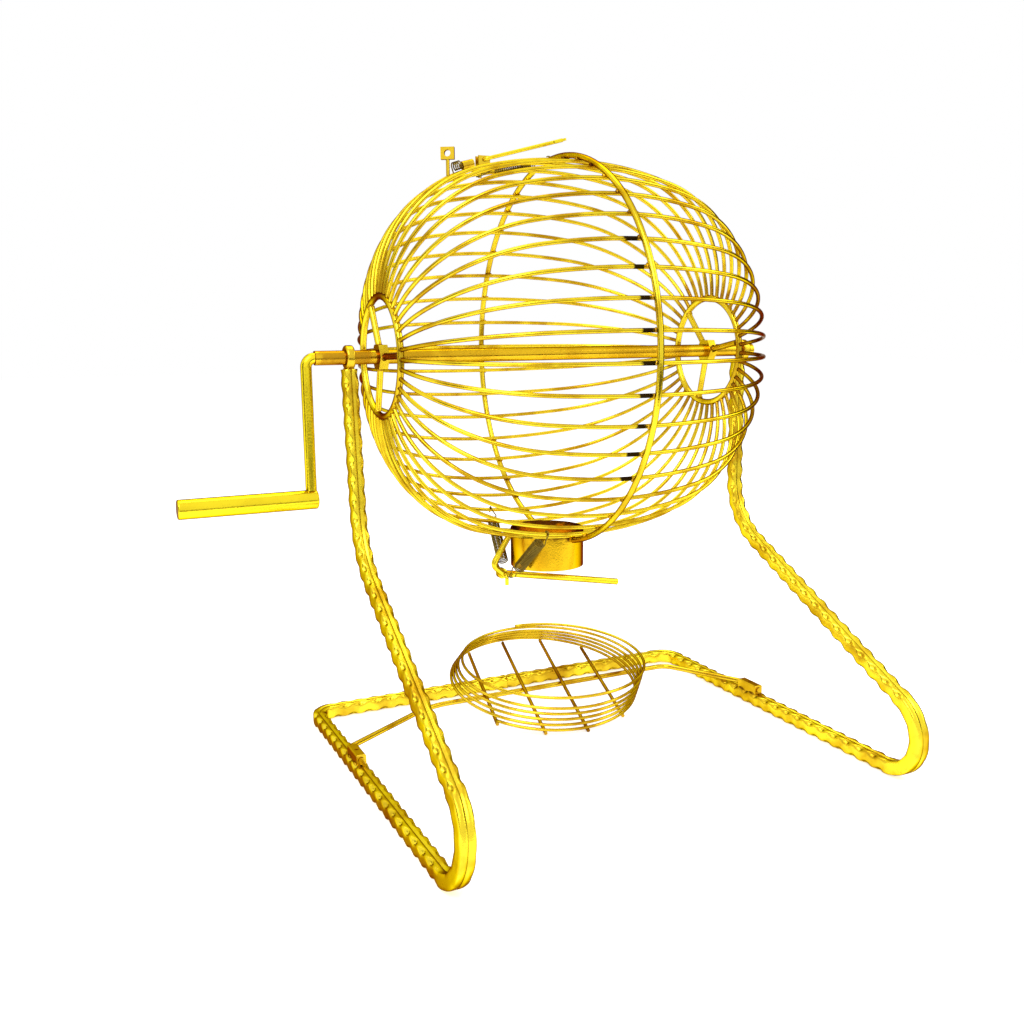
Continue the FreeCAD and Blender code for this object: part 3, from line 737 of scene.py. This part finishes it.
@dataclass
class Stand:
    """The bent square bar with pressed edges, its bearings and the tray's sockets."""

    rear_setback: float = 81.5
    rear_half_width: float = 143.0
    rear_corner: float = 12.0
    front_half_width: float = 141.0
    front_reach: float = 176.5
    front_bend: float = 24.1
    knee: tuple[float, float, float] = (134.2, -9.3, -113.6)
    knee_bend: float = 50.0
    left_top: float = -134.4
    right_top: float = 140.5
    right_bearing: float = 144.0
    sockets: tuple[tuple[float, float], ...] = ((-142.26, -13.5), (142.19, -23.0))
    socket_half_length: float = 9.5
    top_drop: float = -6.7
    half_bar: float = 4.25
    floor: float = -246.0
    pitch: float = 11.2
    bite: float = 1.5
    groove_width: float = 0.75
    groove_depth: float = 0.75
    edge: float = 0.9
    step: float = 0.78
    bend_share: float = 0.12
    fade_rounds: int = 10
    bearing_bead: tuple[float, float, float] = (2.9, 1.5, 1.7)
    socket_bead: tuple[float, float, float] = (2.6, 0.9, 0.8)

    def route(self, side: int, top_x: float) -> Route:
        """Centre line of one half, from the rear bar's middle to a bearing.

        Args:
            side: -1 for the crank's side, 1 for the other.
            top_x: Place of the upright's top along the axle.

        Returns:
            The route.
        """
        low = self.floor + self.half_bar
        hub_y, hub_z = self.front_bend - self.front_reach, low + self.front_bend
        _, knee_y, knee_z = self.knee
        reach = math.hypot(knee_y - hub_y, knee_z - hub_z)
        slope = math.atan2(knee_z - hub_z, knee_y - hub_y) - math.asin(self.front_bend / reach)
        corner_y = knee_y - (knee_z - low) / math.tan(slope)
        corners = [
            row(0, self.rear_setback, low),
            row(side * self.rear_half_width, self.rear_setback, low),
            row(side * self.front_half_width, corner_y, low),
            row(side * self.knee[0], knee_y, knee_z),
            row(top_x, 0, self.top_drop),
        ]
        radii = [self.rear_corner * MM, self.front_bend * MM, self.knee_bend * MM]
        return Route.through(corners, radii, self.step * MM)

    def section(self) -> list[tuple[float, float, float]]:
        """Outline of the bar: place across, place in the frame's plane, and how much of a corner it is.

        Returns:
            The outline's points in order.
        """
        half, edge = self.half_bar, self.edge
        quarter = [
            (half, -half * 0.35, 0.0),
            (half, 0.0, 0.0),
            (half, half * 0.35, 0.0),
            (half, half * 0.66, 0.35),
            (half - 0.15, half - edge, 1.0),
            (half - edge * 0.35, half - edge * 0.35, 1.0),
            (half - edge, half - 0.15, 1.0),
            (half * 0.66, half, 0.35),
            (half * 0.4, half, 0.0),
        ]
        top = [
            (self.groove_width, half, 0.0),
            (self.groove_width * 0.35, half - self.groove_depth, 0.0),
            (-self.groove_width * 0.35, half - self.groove_depth, 0.0),
            (-self.groove_width, half, 0.0),
        ]
        left = [(-across, up, weight) for across, up, weight in reversed(quarter[3:])]
        upper = quarter + top + left
        lower = [(-across, -up, weight) for across, up, weight in upper]
        return upper + lower

    def bar(self, side: int, top_x: float) -> bpy.types.Object:
        """Sweep one half of the bar, its edges pressed in at an even pitch.

        Args:
            side: -1 for the crank's side, 1 for the other.
            top_x: Place of the upright's top along the axle.

        Returns:
            The piece.
        """
        route = self.route(side, top_x)
        frames = route.frames(Vector((0, -1, 0)) * side)
        calm = self.calmness(route)
        outline = self.section()
        mesh = bmesh.new()
        ring = bmesh.ops.create_circle(mesh, cap_ends=True, segments=len(outline), radius=MM)["verts"]
        edges = [edge for edge in mesh.edges if edge.is_boundary]
        self.place(ring, outline, frames[0], calm[0])
        for frame, quiet in zip(frames[1:], calm[1:]):
            made = bmesh.ops.extrude_edge_only(mesh, edges=edges)["geom"]
            edges = [item for item in made if isinstance(item, bmesh.types.BMEdge)]
            ring = [item for item in made if isinstance(item, bmesh.types.BMVert)]
            self.place(ring, outline, frame, quiet)
        bmesh.ops.holes_fill(mesh, edges=edges, sides=0)
        return finished_object(f"hammered_bar_{'left' if side < 0 else 'right'}", mesh, "stand")

    def place(
        self,
        ring: list[bmesh.types.BMVert],
        outline: list[tuple[float, float, float]],
        frame: tuple[Vector, Vector, Vector, float],
        quiet: float,
    ) -> None:
        """Put a ring of points on the bar's outline.

        Args:
            ring: The points, in order round the bar.
            outline: The outline.
            frame: Point, side, upward direction and distance along the bar.
            quiet: Share of the pressed pattern that is left here.
        """
        point, side, upward, distance = frame
        for vert, (across, up, weight) in zip(ring, outline):
            phase = 0.0 if across * up > 0 else 0.5
            lobe = abs(math.sin(math.pi * (distance / MM / self.pitch + phase)))
            press = self.bite * weight * quiet * (1.0 - lobe ** 0.8)
            pull_across = press * math.copysign(1.0, across) if abs(across) > self.half_bar * 0.6 else 0.0
            pull_up = press * math.copysign(1.0, up) if abs(up) > self.half_bar * 0.6 else 0.0
            vert.co = point + side * ((across - pull_across) * MM) + upward * ((up - pull_up) * MM)

    def calmness(self, route: Route) -> list[float]:
        """Fade the pressed pattern out round tight bends.

        Args:
            route: The bar's route.

        Returns:
            A share from 0 to 1 at each place.
        """
        shares = [self.bend_share if curved else 1.0 for curved in route.curved]
        for _ in range(self.fade_rounds):
            shares = [
                (shares[max(i - 1, 0)] + share + shares[min(i + 1, len(shares) - 1)]) / 3
                for i, share in enumerate(shares)
            ]
        return shares

    def welds(self) -> bpy.types.Object:
        """Weld beads under the bearings and along the sockets.

        Returns:
            The piece.
        """
        chance = random.Random(7)
        mesh = bmesh.new()
        for top_x, ring_x in ((self.left_top, self.left_top), (self.right_top, self.right_bearing)):
            middle = (top_x + ring_x) / 2
            for offset in (-2.6, 2.6):
                add_bead(mesh, row(middle, offset, self.top_drop - 0.2), self.bearing_bead, Vector((1, 0, 0)), chance)
        rail_top = self.floor + 2 * self.half_bar
        for socket_x, socket_y in self.sockets:
            for aside in (-3.0, 3.0):
                for offset in (-0.6, 0.6):
                    along = socket_y + offset * self.socket_half_length
                    place = row(socket_x + aside, along, rail_top + 0.2)
                    add_bead(mesh, place, self.socket_bead, Vector((0, 1, 0)), chance)
        return finished_object("stand_welds", mesh, "stand")

    def build(self, wardrobe: Wardrobe, nodes: dict[str, bpy.types.Object]) -> None:
        """Build and dress the stand.

        Args:
            wardrobe: Where finishes come from.
            nodes: The CAD nodes by name.
        """
        for side, top_x in ((-1, self.left_top), (1, self.right_top)):
            bar = self.bar(side, top_x)
            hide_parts("stand_bar")
            wardrobe.dress(bar, Finish.STAND)
        wardrobe.dress(self.welds(), Finish.WELD)
        for name in ("left_bearing_ring", "right_bearing_ring", "left_tray_socket", "right_tray_socket"):
            wardrobe.dress(nodes[name], Finish.FITTING)


@dataclass
class Drum:
    """The cage of wires with its rings, axle, crank and weld beads."""

    wire_count: int = 42
    first_angle: float = 7.0
    cage_radius: float = 115.0
    cage_half_length: float = 115.0
    ring_ends: tuple[float, float] = (96.5, 105.5)
    end_ring_radius: float = 34.6
    outlet_radius: float = 23.5
    left_spokes: tuple[float, ...] = (2.0, 119.0, 255.0)
    right_spokes: tuple[float, ...] = (10.0, 132.0, 256.0)

    def angles(self) -> list[float]:
        """Angle of each cage wire."""
        return [self.first_angle + 360.0 / self.wire_count * number for number in range(self.wire_count)]

    def ring_beads(self) -> bpy.types.Object:
        """Beads where the middle ring crosses the wires.

        Returns:
            The piece.
        """
        chance = random.Random(11)
        mesh = bmesh.new()
        for angle in self.angles():
            spot = polar(0, self.cage_radius + 1.3, angle) - AXLE_ROW
            under_tube = spot.z < 0 and abs(spot.y) < (self.outlet_radius + 1) * MM
            if self.ring_ends[0] < angle < self.ring_ends[1] or under_tube:
                continue
            for side in (-1, 1):
                centre = polar(side * chance.uniform(1.3, 1.9), self.cage_radius + 1.35, angle)
                round_way = polar(0, 1, angle + 90) - AXLE_ROW
                add_bead(mesh, centre, (chance.uniform(1.2, 1.8), 1.1, 0.95), round_way, chance)
        return finished_object("middle_ring_welds", mesh, "drum")

    def end_beads(self) -> bpy.types.Object:
        """Beads where the wires meet the end rings, and where the spokes end.

        Returns:
            The piece.
        """
        chance = random.Random(13)
        mesh = bmesh.new()
        for side, spokes in ((-1, self.left_spokes), (1, self.right_spokes)):
            for angle in self.angles():
                centre = polar(side * self.cage_half_length, self.end_ring_radius + 1.9, angle)
                outward = polar(0, 1, angle) - AXLE_ROW
                add_bead(mesh, centre, (0.9, 1.55, 1.45), outward, chance)
            for angle in spokes:
                outward = polar(0, 1, angle) - AXLE_ROW
                for radius, size in ((7.4, 2.5), (self.end_ring_radius - 2.1, 2.4)):
                    centre = polar(side * self.cage_half_length, radius, angle)
                    add_bead(mesh, centre, (1.2, size, size), outward, chance)
        return finished_object("end_ring_welds", mesh, "drum")

    def build(self, wardrobe: Wardrobe, nodes: dict[str, bpy.types.Object]) -> None:
        """Build and dress the drum.

        Args:
            wardrobe: Where finishes come from.
            nodes: The CAD nodes by name.
        """
        for name, node in nodes.items():
            if name.startswith("cage_wires"):
                wardrobe.dress(node, Finish.CAGE_WIRE)
        for name in ("left_end_ring", "right_end_ring", "left_spokes", "right_spokes", "left_hub", "right_hub",
                     "middle_ring_front", "middle_ring_rear"):
            wardrobe.dress(nodes[name], Finish.CAGE_RING)
        for name in ("crank_arm", "crank_grip"):
            wardrobe.dress(nodes[name], Finish.CRANK)
        wardrobe.dress(nodes["axle_tube"], Finish.AXLE)
        wardrobe.dress(self.ring_beads(), Finish.WELD)
        wardrobe.dress(self.end_beads(), Finish.WELD)


@dataclass
class Outlet:
    """The outlet tube with its arm, lever and springs."""

    springs: tuple[Coil, ...] = (
        Coil(
            "outlet_spring_front", (-34.882, -7.005, -137.921), (-27.0, -38.513, -106.640),
            (0, 1, 0), (1, 0, 0), 1.8, 2.4, (1, 0, 0), 6.6, 8.5,
        ),
        Coil(
            "outlet_spring_rear", (-34.882, 4.395, -137.921), (-27.0, 44.302, -104.368),
            (0, 1, 0), (1, 0, 0), 1.8, 2.4, (1, 0, 0), 6.6, 8.5,
        ),
    )

    def build(self, wardrobe: Wardrobe, nodes: dict[str, bpy.types.Object]) -> None:
        """Dress the outlet and wind its springs.

        Args:
            wardrobe: Where finishes come from.
            nodes: The CAD nodes by name.
        """
        wardrobe.dress(nodes["outlet_tube"], Finish.OUTLET)
        for name in ("outlet_arm", "outlet_lever", "outlet_hinge_pin", "outlet_cross_pin"):
            wardrobe.dress(nodes[name], Finish.LEVER)
        for spring in self.springs:
            spring.build(wardrobe, "outlet_gate", "drum")


@dataclass
class Latch:
    """The sprung lever and small fittings on top of the cage."""

    spring: Coil = Coil(
        "latch_spring", (-46.5, 9.960, 105.840), (0.0, 10.271, 117.402),
        (0, 0, 1), (0, 1, 0), 2.2, 3.6, (0, 1, 0), 4.6, 11.0,
    )
    coil_mouth: tuple[float, float, float] = (-60.7, 5.2626, 111.0055)
    coil_axis: tuple[float, float, float] = (-0.94660, -0.01527, -0.32206)
    coil_radius: float = 2.3
    coil_pitch: float = 1.28
    coil_turns: int = 4
    coil_leg: float = 5.0
    steps: int = 20

    def torsion_coil(self) -> bpy.types.Object:
        """Wind the few turns at the sleeve's end, with the leg up to the post.

        Returns:
            The piece.
        """
        axis = Vector(self.coil_axis)
        side = Vector((0, 1, 0))
        across = axis.cross(side)
        points = []
        for step in range(self.coil_turns * self.steps + 1):
            turn = 2 * math.pi * step / self.steps
            out = side * math.cos(turn) + across * math.sin(turn)
            along = axis * (self.coil_pitch * step / self.steps)
            points.append(Vector(self.coil_mouth) + along + out * self.coil_radius)
        points.append(points[-1] + across * self.coil_leg)
        mesh = bmesh.new()
        sweep_round(mesh, [row(*point) for point in points], 0.4 * MM, 8)
        return finished_object("wound_latch_coil", mesh, "drum")

    def build(self, wardrobe: Wardrobe, nodes: dict[str, bpy.types.Object]) -> None:
        """Dress the latch and wind its springs.

        Args:
            wardrobe: Where finishes come from.
            nodes: The CAD nodes by name.
        """
        for name in ("latch_bracket", "latch_sleeve", "latch_post", "latch_nut"):
            wardrobe.dress(nodes[name], Finish.FITTING)
        wardrobe.dress(nodes["latch_lever"], Finish.LEVER)
        self.spring.build(wardrobe, "latch", "drum")
        coil = self.torsion_coil()
        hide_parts("latch_coil")
        wardrobe.dress(coil, Finish.SPRING)


@dataclass
class Tray:
    """The tray of coiled wire on its bent rod, in millimetres from the axle's centre."""

    wire: float = 2.0
    turns: float = 5.65
    even_turns: float = 5.0
    radii: tuple[float, float] = (63.5, 66.0)
    places: tuple[float, float] = (17.5, 11.5)
    fronts: tuple[float, float] = (-25.5, -21.0)
    front_heights: tuple[float, float] = (-219.5, -242.6)
    rear_heights: tuple[float, float] = (-206.7, -219.8)
    floor_ends: tuple[tuple[tuple[float, float, float], tuple[float, float, float]], ...] = (
        ((-20.60, 101.32, -223.25), (-41.49, 4.52, -240.23)),
        ((10.83, 109.59, -221.80), (-16.19, -15.63, -243.76)),
        ((39.55, 103.10, -221.86), (12.17, -21.57, -244.80)),
        ((64.73, 83.08, -225.48), (43.67, -13.36, -243.05)),
    )
    steps: int = 72

    def point(self, turn: float) -> Vector:
        """Centre of the wire after some turns, counted down from the rim.

        Args:
            turn: Turns from the rim's free end.

        Returns:
            The place in millimetres.
        """
        wound = max(0.0, min(self.even_turns, turn - 0.5))
        share = (wound + min(wound, 1.0)) / (self.even_turns + 1)
        spans = (self.radii, self.places, self.fronts, self.front_heights, self.rear_heights)
        radius, x, front_y, front_z, rear_z = (first + (second - first) * share for first, second in spans)
        tilt = math.asin((rear_z - front_z) / (2 * radius))
        angle = math.pi / 2 - 2 * math.pi * turn
        depth = radius * (1 + math.sin(angle))
        back, rise = depth * math.cos(tilt), depth * math.sin(tilt)
        return Vector((x + radius * math.cos(angle), front_y + back, front_z + rise))

    def coil(self) -> bpy.types.Object:
        """Wind the tray's one wire.

        Returns:
            The piece.
        """
        mesh = bmesh.new()
        count = round(self.turns * self.steps)
        points = [row(*self.point(self.turns * index / count)) for index in range(count + 1)]
        sweep_round(mesh, points, self.wire / 2 * MM, 12)
        return finished_object("wound_tray_coil", mesh, "tray")

    def welds(self) -> bpy.types.Object:
        """Beads where the floor wires meet the lowest turn.

        Returns:
            The piece.
        """
        chance = random.Random(17)
        mesh = bmesh.new()
        for rear, front in self.floor_ends:
            for end, other in ((rear, front), (front, rear)):
                inward = (Vector(other) - Vector(end)).normalized()
                spot = Vector(end) + inward * 1.2 + Vector((0, 0, 1.0))
                add_bead(mesh, row(*spot), (1.5, 1.1, 0.8), inward, chance)
        return finished_object("tray_welds", mesh, "tray")

    def build(self, wardrobe: Wardrobe, nodes: dict[str, bpy.types.Object]) -> None:
        """Dress the tray and wind its wire.

        Args:
            wardrobe: Where finishes come from.
            nodes: The CAD nodes by name.
        """
        coil = self.coil()
        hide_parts("tray_coil")
        wardrobe.dress(coil, Finish.TRAY)
        wardrobe.dress(self.welds(), Finish.WELD)
        wardrobe.dress(nodes["tray_floor_wires"], Finish.TRAY_FLOOR)
        wardrobe.dress(nodes["tray_rod"], Finish.TRAY)


@dataclass
class Studio:
    """Floor, mirrored cards, lamps and camera."""

    lens: float = 35.754
    floor_glow: float = 0.55
    daylight: float = 0.55
    camera_place: tuple[float, float, float] = (-301.4, -573.1, 14.7)
    right: tuple[float, float, float] = (0.90420, -0.42710, -0.00860)
    up: tuple[float, float, float] = (0.08290, 0.15560, 0.98430)
    cards: tuple[tuple[str, tuple[tuple[float, float, float], ...]], ...] = (
        ("low_card", ((-1.6, -2.2, 0.02), (1.2, -2.2, 0.02), (1.2, -0.62, 0.02), (-1.6, -0.62, 0.02))),
        ("right_card", ((1.25, -0.9, 0.0), (1.25, 0.1, 0.0), (1.25, 0.1, 0.75), (1.25, -0.9, 0.75))),
        ("left_card", ((-1.3, 0.0, 0.0), (-1.3, -0.55, 0.0), (-1.3, -0.55, 0.8), (-1.3, 0.0, 0.8))),
    )

    lamps: tuple[tuple[str, tuple[float, float, float], float, float], ...] = (
        ("key_lamp", (-0.9, -1.0, 1.5), 0.9, 16.0),
        ("fill_lamp", (1.3, -0.7, 0.9), 1.0, 7.0),
        ("top_lamp", (0.1, 0.6, 1.7), 1.1, 9.0),
    )

    @staticmethod
    def staged(
        name: str, mesh: bmesh.types.BMesh, colour: tuple[float, float, float]
    ) -> tuple[bpy.types.Object, bpy.types.Material, bpy.types.Node]:
        """Turn a mesh into a matt piece of the studio.

        Args:
            name: Name of the piece and of its material.
            mesh: Its shape; it is freed.
            colour: Its colour.

        Returns:
            The piece, its material and its shader.
        """
        data = bpy.data.meshes.new(name)
        mesh.to_mesh(data)
        mesh.free()
        piece = bpy.data.objects.new(name, data)
        bpy.context.scene.collection.objects.link(piece)
        material = bpy.data.materials.new(name)
        material.use_nodes = True
        shader = material.node_tree.nodes["Principled BSDF"]
        shader.inputs["Base Color"].default_value = (*colour, 1)
        shader.inputs["Roughness"].default_value = 0.9
        data.materials.append(material)
        return piece, material, shader

    def floor(self) -> None:
        """Make the plain floor, which comes out pure white, so that no shadow shows on it."""
        mesh = bmesh.new()
        bmesh.ops.create_grid(mesh, x_segments=1, y_segments=1, size=6.0)
        piece, material, shader = self.staged("studio_floor", mesh, (0.9, 0.9, 0.9))
        piece.location.z = -0.0004
        graph = Graph(material.node_tree)
        shader.inputs["Specular IOR Level"].default_value = 0.0
        strength = graph.math("MULTIPLY", graph.seen_share(), self.floor_glow)
        shader.inputs["Emission Color"].default_value = (1, 1, 1, 1)
        material.node_tree.links.new(strength, shader.inputs["Emission Strength"])

    def world(self) -> None:
        """Light the scene evenly and show white behind it."""
        world = bpy.data.worlds.new("studio_world")
        bpy.context.scene.world = world
        world.use_nodes = True
        tree = world.node_tree
        graph = Graph(tree)
        glow = graph.math("MULTIPLY", graph.seen_share(), 1 - self.daylight)
        strength = graph.math("ADD", glow, self.daylight)
        back = tree.nodes["Background"]
        back.inputs["Color"].default_value = (1, 1, 1, 1)
        tree.links.new(strength, back.inputs["Strength"])

    def card(self, name: str, corners: tuple[tuple[float, float, float], ...]) -> None:
        """Stand a dark card that only the metal's mirroring shows.

        Args:
            name: The card's name.
            corners: Its four corners in metres.
        """
        mesh = bmesh.new()
        mesh.faces.new([mesh.verts.new(corner) for corner in corners])
        piece, _, _ = self.staged(name, mesh, (0.03, 0.02, 0.015))
        piece.visible_camera = False
        piece.visible_shadow = False
        piece.visible_diffuse = False

    def lamp(self, name: str, place: tuple[float, float, float], size: float, power: float) -> None:
        """Add a soft lamp that looks at the drum.

        Args:
            name: The lamp's name.
            place: Its place in metres.
            size: Side of the square lamp.
            power: Watts.
        """
        data = bpy.data.lights.new(name, "AREA")
        data.shape = "SQUARE"
        data.size = size
        data.energy = power
        lamp = bpy.data.objects.new(name, data)
        lamp.location = place
        lamp.rotation_mode = "QUATERNION"
        lamp.rotation_quaternion = (Vector((0, -0.08, 0.2)) - Vector(place)).to_track_quat("-Z", "Y")
        bpy.context.scene.collection.objects.link(lamp)

    def camera(self) -> None:
        """Place the camera as the photograph has it."""
        data = bpy.data.cameras.new("photo_camera")
        data.lens = self.lens
        data.sensor_width = 36.0
        data.clip_start, data.clip_end = 0.01, 50.0
        camera = bpy.data.objects.new("photo_camera", data)
        bpy.context.scene.collection.objects.link(camera)
        right, up = Vector(self.right).normalized(), Vector(self.up).normalized()
        back = right.cross(up)
        turn = Matrix((right, up, back)).transposed().to_4x4()
        camera.matrix_world = Matrix.Translation(row(*self.camera_place)) @ turn
        bpy.context.scene.camera = camera

    def build(self) -> None:
        """Set up the whole studio."""
        self.floor()
        self.world()
        for name, corners in self.cards:
            self.card(name, corners)
        for lamp in self.lamps:
            self.lamp(*lamp)
        self.camera()
        bpy.context.scene.view_settings.view_transform = "Standard"


def main() -> None:
    """Load the frame, dress every sub-assembly and set up the studio."""
    logging.basicConfig(level=logging.INFO, format="%(name)s %(message)s")
    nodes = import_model()["nodes"]
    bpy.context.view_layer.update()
    wardrobe = Wardrobe()
    for assembly in (Stand(), Drum(), Outlet(), Latch(), Tray()):
        assembly.build(wardrobe, nodes)
        LOG.info("%s is dressed", type(assembly).__name__)
    Studio().build()


if __name__ == "__main__":
    main()
